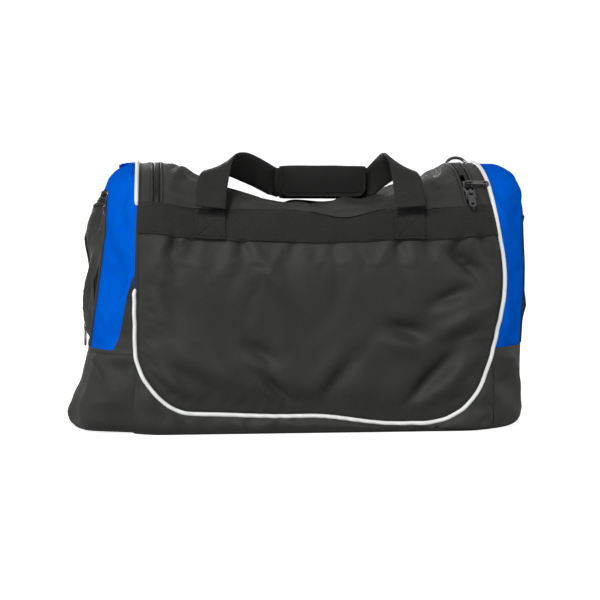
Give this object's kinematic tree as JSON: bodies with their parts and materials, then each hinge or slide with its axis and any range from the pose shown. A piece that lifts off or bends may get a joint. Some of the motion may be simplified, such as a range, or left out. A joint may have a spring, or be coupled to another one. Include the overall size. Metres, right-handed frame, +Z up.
{
  "type": "duffel bag",
  "caption": "Soft rectangular duffel bag with rounded ends, zipped lid, end pockets, grab handles, hooked shoulder strap, white piping and blue end panels.",
  "frame": {"origin": "middle of the flat base, on the surface the bag stands on", "axes": "+X towards the right-hand end, -Y towards the front, +Z up"},
  "size_m": [0.5941, 0.3344, 0.3544],
  "materials": {
    "black_polyester": "woven, matt, slight sheen",
    "blue_polyester": "woven, slight sheen",
    "piping_white": "satin",
    "black_webbing": "ribbed webbing, satin",
    "zip_nylon": "coil and tape, satin",
    "grip_padding": "padded, woven",
    "lining_polyester": "thin woven, matt",
    "base_stiffener": "matt sheet",
    "black_metal": "gloss black paint",
    "black_acetal": "satin moulded"
  },
  "bodies": {
    "root": {"front_panel": "black_polyester", "rear_panel": "black_polyester", "bottom_panel": "black_polyester", "base_board": "base_stiffener", "left_gusset": "blue_polyester", "right_gusset": "blue_polyester", "left_top_strip": "black_polyester", "right_top_strip": "black_polyester", "rear_top_strip": "black_polyester", "piping": "piping_white", "front_band": "black_webbing", "rear_band": "black_webbing", "front_handle_tabs": "black_webbing", "rear_handle_tabs": "black_webbing", "left_dring_tab": "black_webbing", "right_dring_tab": "black_webbing", "main_zip_tape": "zip_nylon", "main_zip_coil": "zip_nylon", "left_pocket_zip": "zip_nylon", "right_pocket_zip": "zip_nylon", "left_pocket_lining": "lining_polyester", "right_pocket_lining": "lining_polyester"},
    "lid": {"lid_panel": "black_polyester", "lid_zip_tape": "zip_nylon", "lid_zip_coil": "zip_nylon"},
    "front_handle": {"front_handle": "black_webbing", "grip_wrap": "grip_padding"},
    "grip_flap": {"grip_flap": "grip_padding"},
    "rear_handle": {"rear_handle": "black_webbing"},
    "shoulder_strap": {"shoulder_strap": "black_webbing", "left_dring": "black_metal", "right_dring": "black_metal", "left_hook_body": "black_metal", "right_hook_body": "black_metal", "left_hook_swivel": "black_metal", "right_hook_swivel": "black_metal"},
    "left_hook_gate": {"left_hook_gate": "black_metal"},
    "right_hook_gate": {"right_hook_gate": "black_metal"},
    "strap_adjuster": {"strap_adjuster": "black_acetal"},
    "main_slider_a": {"main_slider_a": "black_metal"},
    "main_pull_a": {"main_pull_a": "black_metal"},
    "main_slider_b": {"main_slider_b": "black_metal"},
    "main_pull_b": {"main_pull_b": "black_metal"},
    "left_pocket_panel": {"left_pocket_panel": "black_polyester"},
    "right_pocket_panel": {"right_pocket_panel": "black_polyester"},
    "left_pocket_slider": {"left_pocket_slider": "black_metal"},
    "right_pocket_slider": {"right_pocket_slider": "black_metal"},
    "left_pocket_pull": {"left_pocket_pull": "black_metal"},
    "right_pocket_pull": {"right_pocket_pull": "black_metal"}
  },
  "joints": [
    {"name": "lid_open", "type": "hinge", "parent": "root", "child": "lid", "pos_m": [0, -0.157, 0.285], "axis": [1, 0, 0], "range_deg": [0, 100]},
    {"name": "front_handle_lift", "type": "hinge", "parent": "lid", "child": "front_handle", "pos_m": [0, -0.157, 0.285], "axis": [1, 0, 0], "range_deg": [0, 85]},
    {"name": "grip_flap_open", "type": "hinge", "parent": "front_handle", "child": "grip_flap", "pos_m": [0, -0.0378, 0.3346], "axis": [-1, 0, 0], "range_deg": [0, 150]},
    {"name": "rear_handle_lift", "type": "hinge", "parent": "root", "child": "rear_handle", "pos_m": [0, 0.157, 0.285], "axis": [1, 0, 0], "range_deg": [0, 165]},
    {"name": "shoulder_strap_lift", "type": "hinge", "parent": "root", "child": "shoulder_strap", "pos_m": [0, 0.09, 0.3285], "axis": [1, 0, 0], "range_deg": [0, 60]},
    {"name": "left_gate_press", "type": "hinge", "parent": "shoulder_strap", "child": "left_hook_gate", "pos_m": [-0.22551, 0.12142, 0.31439], "axis": [-0.7634, -0.3443, -0.5464], "range_deg": [0, 15], "stiffness_Nm_per_rad": 0.02, "springref_deg": -11.46},
    {"name": "right_gate_press", "type": "hinge", "parent": "shoulder_strap", "child": "right_hook_gate", "pos_m": [0.25773, 0.09378, 0.33285], "axis": [-0.2223, -0.5941, -0.773], "range_deg": [0, 15], "stiffness_Nm_per_rad": 0.02, "springref_deg": -11.46},
    {"name": "adjuster_slide", "type": "slide", "parent": "shoulder_strap", "child": "strap_adjuster", "axis": [0.0722, -0.0262, 0.997], "range_m": [-0.02, 0.02]},
    {"name": "main_slider_a_travel", "type": "hinge", "parent": "root", "child": "main_slider_a", "pos_m": [0.205, 0, 0.119], "axis": [-1, 0, 0], "range_deg": [-0.4, 1]},
    {"name": "main_pull_a_swing", "type": "hinge", "parent": "main_slider_a", "child": "main_pull_a", "pos_m": [0.205, -0.13305, 0.3028], "axis": [-1, 0, 0], "range_deg": [0, 150]},
    {"name": "main_slider_b_travel", "type": "hinge", "parent": "root", "child": "main_slider_b", "pos_m": [0.205, 0, 0.119], "axis": [-1, 0, 0], "range_deg": [0, 40]},
    {"name": "main_pull_b_swing", "type": "hinge", "parent": "main_slider_b", "child": "main_pull_b", "pos_m": [0.205, -0.11482, 0.3147], "axis": [0, -0.8625, -0.506], "range_deg": [0, 170]},
    {"name": "left_pocket_open", "type": "hinge", "parent": "root", "child": "left_pocket_panel", "pos_m": [-0.285, 0, 0.1055], "axis": [0, -1, 0], "range_deg": [0, 60]},
    {"name": "left_pocket_slider_travel", "type": "slide", "parent": "root", "child": "left_pocket_slider", "axis": [0, 0, 1], "range_m": [0, 0.1]},
    {"name": "left_pocket_pull_swing", "type": "hinge", "parent": "left_pocket_slider", "child": "left_pocket_pull", "pos_m": [-0.28932, 0.07279, 0.117], "axis": [0.1763, 0.9843, 0], "range_deg": [0, 140]},
    {"name": "right_pocket_open", "type": "hinge", "parent": "root", "child": "right_pocket_panel", "pos_m": [0.285, 0, 0.1055], "axis": [0, 1, 0], "range_deg": [0, 60]},
    {"name": "right_pocket_slider_travel", "type": "slide", "parent": "root", "child": "right_pocket_slider", "axis": [0, 0, 1], "range_m": [0, 0.1]},
    {"name": "right_pocket_pull_swing", "type": "hinge", "parent": "right_pocket_slider", "child": "right_pocket_pull", "pos_m": [0.28932, 0.07279, 0.117], "axis": [0.1763, -0.9843, 0], "range_deg": [0, 140]}
  ]
}
